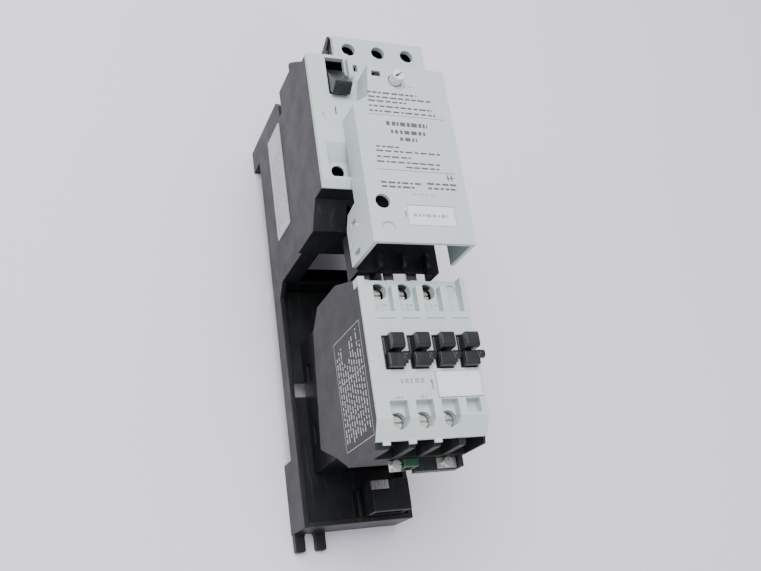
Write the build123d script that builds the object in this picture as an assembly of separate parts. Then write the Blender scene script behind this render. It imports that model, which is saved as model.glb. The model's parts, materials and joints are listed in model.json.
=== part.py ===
from build123d import *
import os
from math import cos, radians, sin

# A combination motor starter lying on its back: a hand-operated three-pole breaker and a four-column
# contactor on one long moulded base. X runs across it, Y runs along it towards the line terminals, Z runs
# out of its front. Z = 0 is the plane of the panel behind it, Y = 0 is the centre line of the rail.

os.makedirs("parts", exist_ok=True)

# Mouldings and clearances, mm
WALL = 2.0
THIN = 1.2
GAP = 0.15
RUN_GAP = 0.35
PIN_GAP = 0.05

# Mounting base
BASE_WIDTH = 50.4
BASE_MID = -1.8
BASE_WALL = 2.2
HEAD_Y = 101.5
FOOT_Y = -93.5
TAB_LENGTH = 8.0
TAB_WIDTH = 14.1
TAB_THICK = 4.0
TAB_SLOT = 5.0
WEB_Z = 11.0
WEB_THICK = 3.0
LOW_WALL_Z = 21.0
FOOT_PAD = 31.0
HEAD_PAD = 12.2
HEAD_WALL_Z = 50.0
PEDESTAL_Z = 67.6
PEDESTAL_Y0 = 17.0
PEDESTAL_Y1 = 91.5
HEAD_HOLE_R = 2.4
HEAD_HOLE_SPACING = 38.0
HEAD_HOLE_EDGE = 4.8

# Rail seat and latch
RAIL_WIDTH = 35.0
RAIL_FRONT_Z = 7.5
RAIL_THICK = 1.0
LATCH_WIDTH = 16.0
LATCH_LENGTH = 24.0
LATCH_TRAVEL = 3.0
HOOK_REACH = LATCH_TRAVEL - 0.8

# Contactor
CONTACTOR_WIDTH = 45.0
CONTACTOR_FRONT_Z = 105.0
CONTACTOR_Y0 = -79.0
CONTACTOR_Y1 = -13.5
FRONT_PLATE_Y0 = -76.5
FRONT_PLATE_Y1 = -14.0
LIP_DROP = 4.2
SHOULDER_Y = -7.6
SHOULDER_Z = 80.3
SPLIT_Z = 56.0
REAR_SIDE_IN = 4.9
COLUMN_PITCH = 10.3
COLUMN_SHIFT = 2.35
COLUMNS = 4
POLES = 3
CHANNEL_WIDTH = 7.6
CHANNEL_DEPTH = 4.0
TERMINAL_HOLE_R = 3.35
LINE_SCREW_Y = -18.6
LOAD_SCREW_Y = -69.6
WINDOW_WIDTH = 7.4
WINDOW_Y0 = -51.1
WINDOW_Y1 = -37.8
CARRIER_TRAVEL = 4.0
SCREW_R = 1.75
HEAD_THICK = 2.2
CLAMP_THICK = 1.1
STRIP_THICK = 1.2

# Breaker
BREAKER_WIDTH = 54.0
BREAKER_Y0 = 12.3
BREAKER_Y1 = 92.5
BREAKER_BACK_Z = 67.9
BREAKER_FRONT_Z = 107.0
POLE_PITCH = 13.4
POLE_EDGE = 8.0
CAP_Y1 = 95.5
LEVER_SIDE_Y1 = 85.5
MODULE_Y0 = 23.2
BREAKER_LINE_Y = 89.3
BREAKER_LOAD_Y = 17.5
BREAKER_HOLE_R = 3.0
LEVER_WIDTH = 7.6
LEVER_EDGE = 8.2
LEVER_Y = 74.0
LEVER_Z = 98.0
LEVER_DRUM_R = 8.6
LEVER_PIN_R = 1.5
BAR_TRAVEL = 3.5
DIAL_Y = 66.0
DIAL_R = 2.6
TEST_TRAVEL = 0.9

# Label cover
COVER_FRONT_Z = 120.0
COVER_WIDTH = 42.6
COVER_Y0 = -6.6
COVER_Y1 = 73.0
COVER_WALL = 1.8
COVER_SKIRT_Z = 96.0

# Values that follow from the ones above
HALF_BASE = BASE_WIDTH / 2
HALF_CON = CONTACTOR_WIDTH / 2
BREAKER_X1 = HALF_CON - 0.5
BREAKER_X0 = BREAKER_X1 - BREAKER_WIDTH
COVER_X1 = BREAKER_X1 + 0.3
COVER_X0 = COVER_X1 - COVER_WIDTH
BASE_TOP_Z = WEB_Z + WEB_THICK
LEVER_X0 = BREAKER_X0 + LEVER_EDGE
LEVER_X1 = LEVER_X0 + LEVER_WIDTH
CHANNEL_Z = CONTACTOR_FRONT_Z - CHANNEL_DEPTH
LIP_Y = LOAD_SCREW_Y + 0.4
EDGE_Y = LINE_SCREW_Y + 1.0
EDGE_Z = CHANNEL_Z - 1.6
COLUMN_X = [COLUMN_SHIFT + COLUMN_PITCH * (i - (COLUMNS - 1) / 2) for i in range(COLUMNS)]
POLE_X = [BREAKER_X1 - POLE_EDGE - POLE_PITCH * (POLES - 1 - i) for i in range(POLES)]
DIAL_X = POLE_X[1] - 1.1

# The overall box is centred on X = 0 and Y = 0 in the finished part
OVERALL_X0 = min(BREAKER_X0, BASE_MID - HALF_BASE)
OVERALL_X1 = max(BASE_MID + HALF_BASE, COLUMN_X[3] + 5.75)
SHIFT_X = -(OVERALL_X0 + OVERALL_X1) / 2
SHIFT_Y = -(FOOT_Y - TAB_LENGTH + HEAD_Y) / 2


def block(x0, x1, y0, y1, z0, z1):
    """A box between two corners."""
    centre = Pos((x0 + x1) / 2, (y0 + y1) / 2, (z0 + z1) / 2)
    return centre * Box(x1 - x0, y1 - y0, z1 - z0)


def post(x, y, z0, z1, r):
    """A round bar along Z."""
    return Pos(x, y, (z0 + z1) / 2) * Cylinder(r, z1 - z0)


def cross_pin(y, z, x0, x1, r):
    """A round bar along X."""
    return Pos((x0 + x1) / 2, y, z) * Rot(0, 90, 0) * Cylinder(r, x1 - x0)


def side_slab(outline, x0, x1):
    """A slab with an outline in Y and Z, from x0 to x1."""
    face = make_face(Polyline([(x0, y, z) for y, z in outline], close=True))
    return extrude(face, amount=x1 - x0, dir=(1, 0, 0))


def front_slab(outline, z0, z1):
    """A slab with an outline in X and Y, from z0 to z1."""
    face = make_face(Polyline([(x, y, z0) for x, y in outline], close=True))
    return extrude(face, amount=z1 - z0, dir=(0, 0, 1))


def round_edges(shape, axis, radius, keep=lambda edge: True):
    """Round the straight edges that run along one axis."""
    edges = [e for e in shape.edges().filter_by(axis) if keep(e)]
    return fillet(edges, radius)


def save(node, *solids):
    """Write one sub-part, moved to the finished part's origin."""
    moved = [Pos(SHIFT_X, SHIFT_Y, 0) * solid for solid in solids]
    shape = moved[0] if len(moved) == 1 else Compound(moved)
    export_step(shape, f"parts/{node}.step")


# ---------------------------------------------------------------- mounting base

def mounting_base():
    """The long base: a shallow trough with a tall hollow pedestal for the breaker."""
    half = HALF_BASE
    head_foot_y = HEAD_Y - HEAD_PAD
    outline = [
        (FOOT_Y, 0), (FOOT_Y + FOOT_PAD, 0), (FOOT_Y + FOOT_PAD, WEB_Z), (head_foot_y, WEB_Z),
        (head_foot_y, 0), (HEAD_Y, 0), (HEAD_Y, HEAD_WALL_Z - 4), (HEAD_Y - 4, HEAD_WALL_Z),
        (PEDESTAL_Y1, HEAD_WALL_Z), (PEDESTAL_Y1, PEDESTAL_Z), (PEDESTAL_Y0, PEDESTAL_Z),
        (PEDESTAL_Y0, LOW_WALL_Z + 6), (PEDESTAL_Y0 - 6, LOW_WALL_Z), (FOOT_Y, LOW_WALL_Z),
    ]
    body = side_slab(outline, -half, half)
    inner = half - BASE_WALL
    trough = block(-inner, inner, FOOT_Y + BASE_WALL, PEDESTAL_Y0, BASE_TOP_Z, PEDESTAL_Z)
    hollow = block(-inner, inner, PEDESTAL_Y0 + BASE_WALL, PEDESTAL_Y1 - BASE_WALL,
                   BASE_TOP_Z, PEDESTAL_Z - BASE_WALL)
    back_opening = block(-inner, inner, RAIL_WIDTH / 2 + 12, PEDESTAL_Y1 - BASE_WALL, -1, BASE_TOP_Z + 1)
    foot_hollow = block(-inner, inner, FOOT_Y + BASE_WALL, FOOT_Y + FOOT_PAD - BASE_WALL, -1, WEB_Z)
    head_space = block(-inner, inner, PEDESTAL_Y1, HEAD_Y + 1, TAB_THICK, PEDESTAL_Z)
    body = body - trough - hollow - back_opening - foot_hollow - head_space
    body = body - block(-inner, inner, PEDESTAL_Y1 - BASE_WALL - 1, PEDESTAL_Y1 - BASE_WALL, -1, TAB_THICK)
    for side in (-1, 1):
        hole_y = HEAD_Y - HEAD_HOLE_EDGE
        body = body - post(side * HEAD_HOLE_SPACING / 2, hole_y, -1, TAB_THICK + 1, HEAD_HOLE_R)
    body = body - web_windows()
    body = body + rail_hooks() + foot_tab() + plug_seat()
    return body


def web_windows():
    """Openings in the web and in the pedestal's lower wall."""
    half = HALF_BASE
    window = block(-half + 4, -half + 12, -34.5, -27.5, WEB_Z - 1, BASE_TOP_Z + 1)
    window += block(half - 12, half - 4, -34.5, -27.5, WEB_Z - 1, BASE_TOP_Z + 1)
    window += block(-half + 8, half - 8, PEDESTAL_Y0 - 1, PEDESTAL_Y0 + BASE_WALL + 1,
                    BASE_TOP_Z + 12, PEDESTAL_Z - 8)
    return window


def rail_hooks():
    """The seat ribs, the fixed hook at the top edge of the rail and the latch's guides."""
    inner = HALF_BASE - BASE_WALL
    edge = RAIL_WIDTH / 2
    under = RAIL_FRONT_Z - RAIL_THICK - 0.3
    parts = block(-inner + 1, -inner + 6, -edge + 4, edge - 4, RAIL_FRONT_Z, WEB_Z)
    parts += block(inner - 6, inner - 1, -edge + 4, edge - 4, RAIL_FRONT_Z, WEB_Z)
    hook = [(edge + 0.3, WEB_Z), (edge + 6, WEB_Z), (edge + 4, under - 2.2),
            (edge - HOOK_REACH, under - 2.2), (edge - HOOK_REACH, under), (edge + 0.3, under)]
    for side in (-1, 1):
        parts += side_slab(hook, side * 15 - 5, side * 15 + 5)
        guide_x = side * (LATCH_WIDTH / 2 + RUN_GAP)
        outer_x = guide_x + side * 2.4
        lip_x = guide_x - side * 1.6
        tail_y = -edge - LATCH_LENGTH + 3
        parts += block(min(guide_x, outer_x), max(guide_x, outer_x), tail_y, -edge - 2, 2.4, WEB_Z)
        parts += block(min(lip_x, outer_x), max(lip_x, outer_x), tail_y, -edge - 2, 2.4, 3.6)
    return parts + block(-3, 3, -edge - 15.8, -edge - 14, 6.0, WEB_Z)


def foot_tab():
    """The fixing tab with an open slot, at the lower left corner."""
    x0 = -HALF_BASE + 0.4
    tab = block(x0, x0 + TAB_WIDTH, FOOT_Y - TAB_LENGTH, FOOT_Y + BASE_WALL, 0, TAB_THICK)
    slot_x = x0 + TAB_WIDTH / 2
    slot = block(slot_x - TAB_SLOT / 2, slot_x + TAB_SLOT / 2, FOOT_Y - TAB_LENGTH - 1, FOOT_Y - 2,
                 -1, TAB_THICK + 1)
    slot += post(slot_x, FOOT_Y - 2, -1, TAB_THICK + 1, TAB_SLOT / 2)
    tab = tab - slot
    corners = [e for e in tab.edges().filter_by(Axis.Z) if e.center().Y < FOOT_Y - TAB_LENGTH + 0.1]
    return fillet(corners, 0.9)


def plug_seat():
    """Two ribs on the web that hold the plug block."""
    x0, x1, y0, y1 = plug_box()
    ribs = block(x0 - 2.0, x0 - GAP, y0 - 2 * GAP, y1 - 2, BASE_TOP_Z, LOW_WALL_Z - 1)
    return ribs + block(x1 + GAP, x1 + 2.0, y0 - 2 * GAP, y1 - 2, BASE_TOP_Z, LOW_WALL_Z - 1)


def plug_box():
    """The place of the plug block: low x, high x, low y, high y."""
    x1 = HALF_BASE - BASE_WALL - 3.0
    y0 = FOOT_Y + BASE_WALL + GAP
    return (x1 - 17.4, x1, y0, y0 + 13.6)


def base_label():
    """A thin plate on the left side of the pedestal."""
    y0 = PEDESTAL_Y0 + 19.8
    plate = block(-HALF_BASE - 0.4, -HALF_BASE, y0, PEDESTAL_Y1 - 2, 29, 48.3)
    return round_edges(plate, Axis.X, 0.8)


def rail_latch():
    """The sliding foot that grips the lower edge of the rail."""
    edge = -RAIL_WIDTH / 2
    under = RAIL_FRONT_Z - RAIL_THICK - 0.3
    half = LATCH_WIDTH / 2
    tail_y = edge - LATCH_LENGTH
    top = WEB_Z - RUN_GAP
    plate = block(-half, half, tail_y, edge - 0.3, 4.0, top)
    lip = block(-half, half, edge - 0.5, edge + HOOK_REACH, 4.0, under)
    pocket = block(-half + 4, half - 4, edge - 16, edge - 4, 5.6, top + 1)
    eye = block(-3, 3, tail_y + 1.6, tail_y + 3.4, 3, top + 1)
    return plate + lip - pocket - eye


def latch_spring():
    """A small coil spring that pushes the latch against the rail."""
    edge = -RAIL_WIDTH / 2
    return coil(2.0, 0.5, 4, 9.2, Pos(0, edge - 13.65, 8.3) * Rot(-90, 0, 0))


def coil(radius, wire, turns, height, place):
    """A coil spring of round wire, standing on its place along local Z."""
    path = Helix(pitch=height / turns, height=height, radius=radius)
    section = Plane(origin=path @ 0, z_dir=path % 0) * Circle(wire / 2)
    return place * sweep(section, path=path)


PLUG_TOP_Z = 33.0


def plug_block():
    """The socket block at the lower right of the base."""
    x0, x1, y0, y1 = plug_box()
    body = block(x0, x1, y0, y1, BASE_TOP_Z, PLUG_TOP_Z)
    body = round_edges(body, Axis.X, 0.6)
    body = body - block(x0 + 2, x1 - 2, y0 - 1, y0 + 7, 23, PLUG_TOP_Z - 3)
    return body - block(x0 - 1, x0 + 8.4, y1 - 4.6, y1 + 1, PLUG_TOP_Z - 1.6, PLUG_TOP_Z + 1)


def plug_contact():
    """The plated strip in the step of the socket block."""
    x0, _, _, y1 = plug_box()
    return block(x0 + 0.2, x0 + 8.2, y1 - 4.2, y1 - 0.4, PLUG_TOP_Z - 1.6, PLUG_TOP_Z - 0.4)


# ---------------------------------------------------------------- contactor

def contactor_outline():
    """The side outline of the contactor's upper housing, in Y and Z."""
    z1 = CONTACTOR_FRONT_Z - 1.5
    return [
        (CONTACTOR_Y0, z1 - LIP_DROP - 0.8), (FRONT_PLATE_Y0, z1 - LIP_DROP), (LIP_Y, z1),
        (EDGE_Y, z1), (EDGE_Y, EDGE_Z), (CONTACTOR_Y1, EDGE_Z), (SHOULDER_Y, SHOULDER_Z),
        (SHOULDER_Y, SPLIT_Z + 1),
        (SHOULDER_Y - 8, SPLIT_Z - 8), (CONTACTOR_Y0 + 14, SPLIT_Z - 16),
        (CONTACTOR_Y0 + 7, SPLIT_Z + 1), (CONTACTOR_Y0, z1 - 33.5),
    ]


def contactor_housing():
    """The dark upper housing: an open-fronted shell with fins between its terminals."""
    half = HALF_CON
    front = CONTACTOR_FRONT_Z
    end = CONTACTOR_Y0 + 7 + WALL
    outer = side_slab(contactor_outline(), -half, half)
    cavity = side_slab(
        [(CONTACTOR_Y0 + 5.5, front), (CONTACTOR_Y1 - 2.5, front), (CONTACTOR_Y1 - 2.5, front - 19),
         (SHOULDER_Y - WALL, SHOULDER_Z - 2), (SHOULDER_Y - WALL, SPLIT_Z - 26), (end, SPLIT_Z - 26),
         (end, front - 37), (CONTACTOR_Y0 + 5.5, front - 33)],
        -half + THIN, half - THIN)
    shell = outer - cavity
    mouth = CHANNEL_WIDTH / 2
    for x in COLUMN_X:
        shell = shell - block(x - mouth, x + mouth, CONTACTOR_Y0 - 1, CONTACTOR_Y0 + 6.5, front - 19, front - 6)
        shell = shell - block(x - mouth, x + mouth, CONTACTOR_Y0 - 1, CONTACTOR_Y0 + 4, front - 23, front + 1)
        shell = shell - block(x - mouth, x + mouth, CONTACTOR_Y1 - 3.5, SHOULDER_Y + 1, front - 17, front - 6)
    knob_y = actuator_knob_y()
    shell = shell - block(half - THIN - 1, half - 0.7, WINDOW_Y0 - 1, WINDOW_Y1 + 1, front - 11, front)
    shell = shell - block(half - THIN - 1, half + 1, knob_y - 2.3, knob_y + 2.3, front - 4, front)
    return shell + contact_ledges() + coil_shelf()


def contact_ledges():
    """The two ledges inside the housing that the fixed contacts rest on."""
    inner = HALF_CON - THIN
    top = CONTACT_Z - 2.45
    ledges = block(-inner - 0.3, inner + 0.3, CONTACTOR_Y0 + 7, CONTACTOR_Y0 + 17, top - 2.8, top)
    ledges += block(-inner - 0.3, inner + 0.3, CONTACTOR_Y1 - 13, SHOULDER_Y - WALL + 0.3, top - 2.8, top)
    return ledges


def contactor_rear():
    """The black rear housing around the magnet."""
    half = HALF_CON - REAR_SIDE_IN
    y0 = CONTACTOR_Y0 + 7 + WALL + GAP
    y1 = SHOULDER_Y - WALL - GAP
    shell = block(-half, half, y0, y1, BASE_TOP_Z, SPLIT_Z)
    cavity = block(-half + WALL, half - WALL, y0 + WALL, y1 - WALL, BASE_TOP_Z + 3, SPLIT_Z + 1)
    shell = shell - cavity
    side_vent = block(-half - 1, half + 1, y0 + 12, y0 + 20, BASE_TOP_Z + 6, BASE_TOP_Z + 10)
    side_vent += block(-half - 1, half + 1, y1 - 20, y1 - 12, BASE_TOP_Z + 6, BASE_TOP_Z + 10)
    return shell - side_vent


def contactor_front():
    """The white front with its terminal channels, actuator windows and sloping lower lip."""
    half = HALF_CON
    z1 = CONTACTOR_FRONT_Z
    z0 = z1 - 8.0
    rim = side_slab([(FRONT_PLATE_Y0, z1 - LIP_DROP - 1.4), (FRONT_PLATE_Y0, z1 - LIP_DROP), (LIP_Y, z1),
                     (FRONT_PLATE_Y1, z1), (FRONT_PLATE_Y1, z1 - 1.4), (LIP_Y, z1 - 1.4)], -half, half)
    foot_y = CONTACTOR_Y0 + 5.7
    body = side_slab([(foot_y, z0), (foot_y, z1 - 4.0), (LIP_Y, z1 - 1), (CONTACTOR_Y1 - 2.8, z1 - 1),
                      (CONTACTOR_Y1 - 2.8, z0)], -half + THIN + GAP, half - THIN - GAP)
    inside = block(-half + WALL + 2, half - WALL - 2, LOAD_SCREW_Y + 8, WINDOW_Y0 - 2, z0 - 1, z1 - WALL)
    edge = block(-half, half, EDGE_Y + 0.1, FRONT_PLATE_Y1, EDGE_Z + 0.1, z1)
    front = rim + body + edge - inside
    for x in COLUMN_X:
        front = front - column_cuts(x)
    for x in COLUMN_X[:POLES]:
        front = front + block(x - 6.9, x - 4.0, FRONT_PLATE_Y0 - 1.4, FRONT_PLATE_Y0 + 0.5,
                              z1 - LIP_DROP - 1.0, z1 - LIP_DROP + 0.2)
    return front - marker_seat()


def column_cuts(x):
    """The cuts for one column: its two channels, screw holes, groove, window and knob notch."""
    half = CHANNEL_WIDTH / 2
    side = min(x + half, HALF_CON - THIN - GAP - 0.7)
    z1 = CONTACTOR_FRONT_Z
    cuts = block(x - half, side, LINE_SCREW_Y - 9.6, FRONT_PLATE_Y1 + 1, CHANNEL_Z, z1 + 1)
    cuts += block(x - half - 3, side, LINE_SCREW_Y + 1.0, FRONT_PLATE_Y1 + 1, CHANNEL_Z + 0.6, z1 + 1)
    cuts += block(x - half, side - 0.6, LOAD_SCREW_Y + 1.4, LOAD_SCREW_Y + 6.8, CHANNEL_Z, z1 + 1)
    if x > COLUMN_X[POLES - 1]:
        cuts += post(x, LINE_SCREW_Y, CHANNEL_Z - 0.9, z1, TERMINAL_HOLE_R - 0.4)
    else:
        cuts += post(x, LINE_SCREW_Y, z1 - 9, z1, TERMINAL_HOLE_R)
        cuts += post(x, LOAD_SCREW_Y, z1 - 9, z1 + 1, TERMINAL_HOLE_R)
    cuts += block(x - half, x + half, LINE_SCREW_Y - 12.7, LINE_SCREW_Y - 12.2, z1 - 0.6, z1 + 1)
    x0, x1 = window_span(x)
    cuts += block(x0, x1, WINDOW_Y0, WINDOW_Y1, z1 - 9, z1 + 1)
    knob_y = actuator_knob_y()
    cuts += block(x1 - 0.1, x1 + 2.2, knob_y - 2.2, knob_y + 2.2, z1 - 4, z1 + 1)
    return cuts


def window_span(x):
    """The low and high X of a column's window."""
    return (x - WINDOW_WIDTH / 2 + 0.2, x + WINDOW_WIDTH / 2 + 0.2)


def actuator_knob_y():
    """The height of the actuators' side knobs along Y."""
    return WINDOW_Y0 + 4.5


def marker_box():
    """The place of the marker plate: low x, high x, low y, high y."""
    return (COLUMN_X[2] - 4.4, HALF_CON - 1.2, WINDOW_Y0 - 11.1, WINDOW_Y0 - 1.3)


def marker_seat():
    """The shallow seat under the marker plate and the slot beside it."""
    x0, x1, y0, y1 = marker_box()
    z1 = CONTACTOR_FRONT_Z
    seat = block(x0 - 0.2, x1 + 0.2, y0 - 0.2, y1 + 0.2, z1 - 0.6, z1 + 1)
    return seat + block(x0 - 2.6, x0 - 1.5, y0 + 3.2, y0 + 6.8, z1 - 1.4, z1 + 1)


def contactor_marker():
    """The white marker plate that snaps into the front."""
    x0, x1, y0, y1 = marker_box()
    z1 = CONTACTOR_FRONT_Z
    plate = block(x0, x1, y0, y1, z1 - 0.6, z1 + 0.5)
    return round_edges(plate, Axis.Z, 0.5)


def core_outline(legs_z, back_z, leg, y_mid, span):
    """An E-shaped lamination outline in Y and Z: its legs end at legs_z, its back at back_z."""
    inner = back_z + (leg if legs_z > back_z else -leg)
    half = span / 2
    return [
        (y_mid - half, back_z), (y_mid - half, legs_z), (y_mid - half + leg, legs_z),
        (y_mid - half + leg, inner), (y_mid - leg / 1, inner), (y_mid - leg / 1, legs_z),
        (y_mid + leg / 1, legs_z), (y_mid + leg / 1, inner), (y_mid + half - leg, inner),
        (y_mid + half - leg, legs_z), (y_mid + half, legs_z), (y_mid + half, back_z),
    ]


MAGNET_Y = (CONTACTOR_Y0 + SHOULDER_Y) / 2
MAGNET_SPAN = 44.0
MAGNET_DEPTH = 13.0
MAGNET_LEG = 6.0
CORE_BACK_Z = BASE_TOP_Z + 6.0
AIR_GAP_Z = CORE_BACK_Z + 24.0
ARMATURE_BACK_Z = AIR_GAP_Z + 16.0


def fixed_core():
    """The fixed magnet core: an E of laminations with its back towards the base."""
    outline = core_outline(AIR_GAP_Z, CORE_BACK_Z, MAGNET_LEG, MAGNET_Y, MAGNET_SPAN)
    return side_slab(outline, -MAGNET_DEPTH / 2, MAGNET_DEPTH / 2)


def moving_core():
    """The armature: an E of laminations facing the fixed core across the air gap."""
    legs = AIR_GAP_Z + CARRIER_TRAVEL + 0.1
    outline = core_outline(legs, ARMATURE_BACK_Z, MAGNET_LEG, MAGNET_Y, MAGNET_SPAN)
    return side_slab(outline, -MAGNET_DEPTH / 2, MAGNET_DEPTH / 2)


def shading_rings():
    """Copper rings let into the pole faces of the outer legs."""
    rings = []
    for side in (-1, 1):
        y = MAGNET_Y + side * (MAGNET_SPAN / 2 - MAGNET_LEG - 0.8)
        rings.append(block(-MAGNET_DEPTH / 2, MAGNET_DEPTH / 2, y - 0.6, y + 0.6, AIR_GAP_Z - 3, AIR_GAP_Z - 0.4))
    return rings


def core_pad():
    """The rubber pad between the fixed core and the rear housing."""
    return block(-8, 8, MAGNET_Y - 16, MAGNET_Y + 16, BASE_TOP_Z + 3, CORE_BACK_Z)


def coil_bobbin():
    """The bobbin around the fixed core's centre leg."""
    ins = 0.3
    x_in = MAGNET_DEPTH / 2 + ins
    y_in = MAGNET_LEG + ins
    x_out = HALF_CON - REAR_SIDE_IN - WALL - 1.0
    y_out = MAGNET_SPAN / 2 - MAGNET_LEG - 1.6
    z0 = CORE_BACK_Z + MAGNET_LEG + 0.4
    z1 = AIR_GAP_Z - 3.6
    body = block(-x_out, x_out, MAGNET_Y - y_out, MAGNET_Y + y_out, z0, z1)
    groove = block(-x_out - 1, x_out + 1, MAGNET_Y - y_out - 1, MAGNET_Y + y_out + 1, z0 + 1, z1 - 1)
    groove = groove - block(-x_in - 1, x_in + 1, MAGNET_Y - y_in - 1, MAGNET_Y + y_in + 1, z0, z1)
    bore = block(-x_in, x_in, MAGNET_Y - y_in, MAGNET_Y + y_in, z0 - 1, z1 + 1)
    return body - groove - bore


def coil_winding():
    """The copper winding on the bobbin."""
    ins = 0.3
    x_in = MAGNET_DEPTH / 2 + ins + 1.0
    y_in = MAGNET_LEG + ins + 1.0
    x_out = HALF_CON - REAR_SIDE_IN - WALL - 1.6
    y_out = MAGNET_SPAN / 2 - MAGNET_LEG - 2.2
    z0 = CORE_BACK_Z + MAGNET_LEG + 1.4
    z1 = AIR_GAP_Z - 4.6
    body = block(-x_out, x_out, MAGNET_Y - y_out, MAGNET_Y + y_out, z0, z1)
    body = round_edges(body, Axis.Z, 3.0)
    return body - block(-x_in, x_in, MAGNET_Y - y_in, MAGNET_Y + y_in, z0 - 1, z1 + 1)


SEAT_Z = CONTACTOR_FRONT_Z - 14.0
BRIDGE_Z = CONTACTOR_FRONT_Z - 21.0
LINE_HEAD_Z = SEAT_Z + 5.6
LOAD_HEAD_Z = SEAT_Z + 7.6
CONTACT_Z = BRIDGE_Z - CARRIER_TRAVEL - 2.0
CARRIER_TOP_Z = CONTACTOR_FRONT_Z - 9.6
CARRIER_Y0 = MAGNET_Y - 9.0
CARRIER_Y1 = MAGNET_Y + 9.0


def contact_carrier():
    """The moving carrier: a block over the armature with a window for each bridge."""
    x0 = COLUMN_X[0] - 4.4
    x1 = min(COLUMN_X[3] + 4.2, HALF_CON - THIN - RUN_GAP)
    z0 = ARMATURE_BACK_Z + 3.0
    body = block(x0, x1, CARRIER_Y0, CARRIER_Y1, z0, CARRIER_TOP_Z)
    for x in COLUMN_X:
        body = body - block(x - 2.95, x + 2.95, CARRIER_Y0 - 1, CARRIER_Y1 + 1, BRIDGE_Z - 1.4, BRIDGE_Z + 8.6)
    clamp = block(-MAGNET_DEPTH / 2 - 1.6, MAGNET_DEPTH / 2 + 1.6, MAGNET_Y - 5.6, MAGNET_Y + 5.6,
                  ARMATURE_BACK_Z, z0)
    return body + clamp


def contact_actuators():
    """The four black actuators that stand in the windows and follow the carrier."""
    return [actuator(x) for x in COLUMN_X]


def actuator(x):
    """One actuator: a tall round-topped block, a low block and a side knob."""
    x0, x1 = window_span(x)
    x0, x1 = x0 + RUN_GAP, x1 - RUN_GAP
    y0, y1 = WINDOW_Y0 + RUN_GAP, WINDOW_Y1 - RUN_GAP
    top = CONTACTOR_FRONT_Z
    stem = block(x0, x - 0.8 + 3.4, y0, y1, CARRIER_TOP_Z, top - 1.2)
    tall_y0 = y0 + 6.4
    tall = block(x0 + 1.3, x1, tall_y0, y1, top - 1.3, top + 5.6)
    tall = fillet([e for e in tall.edges().filter_by(Axis.X) if e.center().Z > top + 5], 1.4)
    low = block(x0 + 0.6, x1, y0, tall_y0 - 0.8, top - 1.3, top + 3.4)
    low = fillet([e for e in low.edges().filter_by(Axis.X) if e.center().Z > top + 3], 0.9)
    knob = cross_pin(actuator_knob_y(), top + 2.4, x1 - 0.2, x1 + 2.2, 1.7)
    return stem + tall + low + knob


def bridge_contacts():
    """The four moving bridges, each with a silver button at both ends."""
    bridges = []
    for x in COLUMN_X:
        bar = block(x - 2.6, x + 2.6, MAGNET_Y - 17.5, MAGNET_Y + 17.5, BRIDGE_Z - 1.2, BRIDGE_Z)
        bar += post(x, MAGNET_Y - 15, BRIDGE_Z - 2.2, BRIDGE_Z - 1.2, 2.1)
        bar += post(x, MAGNET_Y + 15, BRIDGE_Z - 2.2, BRIDGE_Z - 1.2, 2.1)
        bridges.append(bar)
    return bridges


def bridge_springs():
    """The springs that press the bridges down in the carrier's windows."""
    return [coil(2.0, 0.5, 4, 7.2, Pos(x, MAGNET_Y, BRIDGE_Z + 0.45)) for x in COLUMN_X]


def return_springs():
    """The two springs that lift the carrier off the magnet."""
    z0 = AIR_GAP_Z - 3.6
    height = ARMATURE_BACK_Z - MAGNET_LEG - z0 - 0.9
    springs = []
    for side in (-1, 1):
        y = MAGNET_Y + side * (MAGNET_LEG + 3.4)
        springs.append(coil(2.4, 0.6, 5, height, Pos(0, y, z0 + 0.4)))
    return springs


def fixed_contact(x, screw_y, inward):
    """One fixed contact: a strip from under the screw to the contact button, with a riser."""
    low = CONTACT_Z - 1.2
    tip = MAGNET_Y - inward * 15
    near = tip - inward * 4
    half = 2.8
    strip = block(x - half, x + half, *sorted((near, tip + inward * 2.4)), low - STRIP_THICK, low)
    strip += block(x - half, x + half, *sorted((near, near - inward * STRIP_THICK)), low - STRIP_THICK, SEAT_Z)
    strip += block(x - half, x + half, *sorted((near, screw_y - inward * 3.6)), SEAT_Z - STRIP_THICK, SEAT_Z)
    strip += post(x, tip, low, low + 0.95, 2.1)
    return strip - post(x, screw_y, SEAT_Z - 6, SEAT_Z + 4, SCREW_R)


def contact_strip(screw_y):
    """The fixed contacts on the side of one row of screws, one for each column."""
    inward = 1 if screw_y < MAGNET_Y else -1
    return [fixed_contact(x, screw_y, inward) for x in COLUMN_X]


def terminal_screw(x, y, head_z, length, head_r):
    """A cheese-head screw with one slot, its head top at head_z."""
    head = post(x, y, head_z - HEAD_THICK, head_z, head_r)
    head = fillet(head.edges().sort_by(Axis.Z)[-1:], 0.4)
    shank = post(x, y, head_z - HEAD_THICK - length, head_z - HEAD_THICK, SCREW_R)
    slot = block(x - head_r - 1, x + head_r + 1, y - 0.45, y + 0.45, head_z - 1.1, head_z + 1)
    return head + shank - slot


def screw_row(xs, y, head_z, length, head_r=2.9):
    """A row of terminal screws."""
    return [terminal_screw(x, y, head_z, length, head_r) for x in xs]


def clamp_row(xs, y, head_z, half_y=3.4):
    """A row of square saddle washers, each under the head of its terminal screw."""
    z1 = head_z - HEAD_THICK
    row = []
    for x in xs:
        plate = block(x - 3.1, x + 3.1, y - half_y, y + half_y, z1 - CLAMP_THICK, z1)
        row.append(plate - post(x, y, z1 - 2, z1 + 1, SCREW_R + GAP))
    return row


COIL_Z = CONTACTOR_FRONT_Z - 27.8


COIL_STRIPS = ((-6.9, 2.2), (15.0, 4.2))


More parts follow.
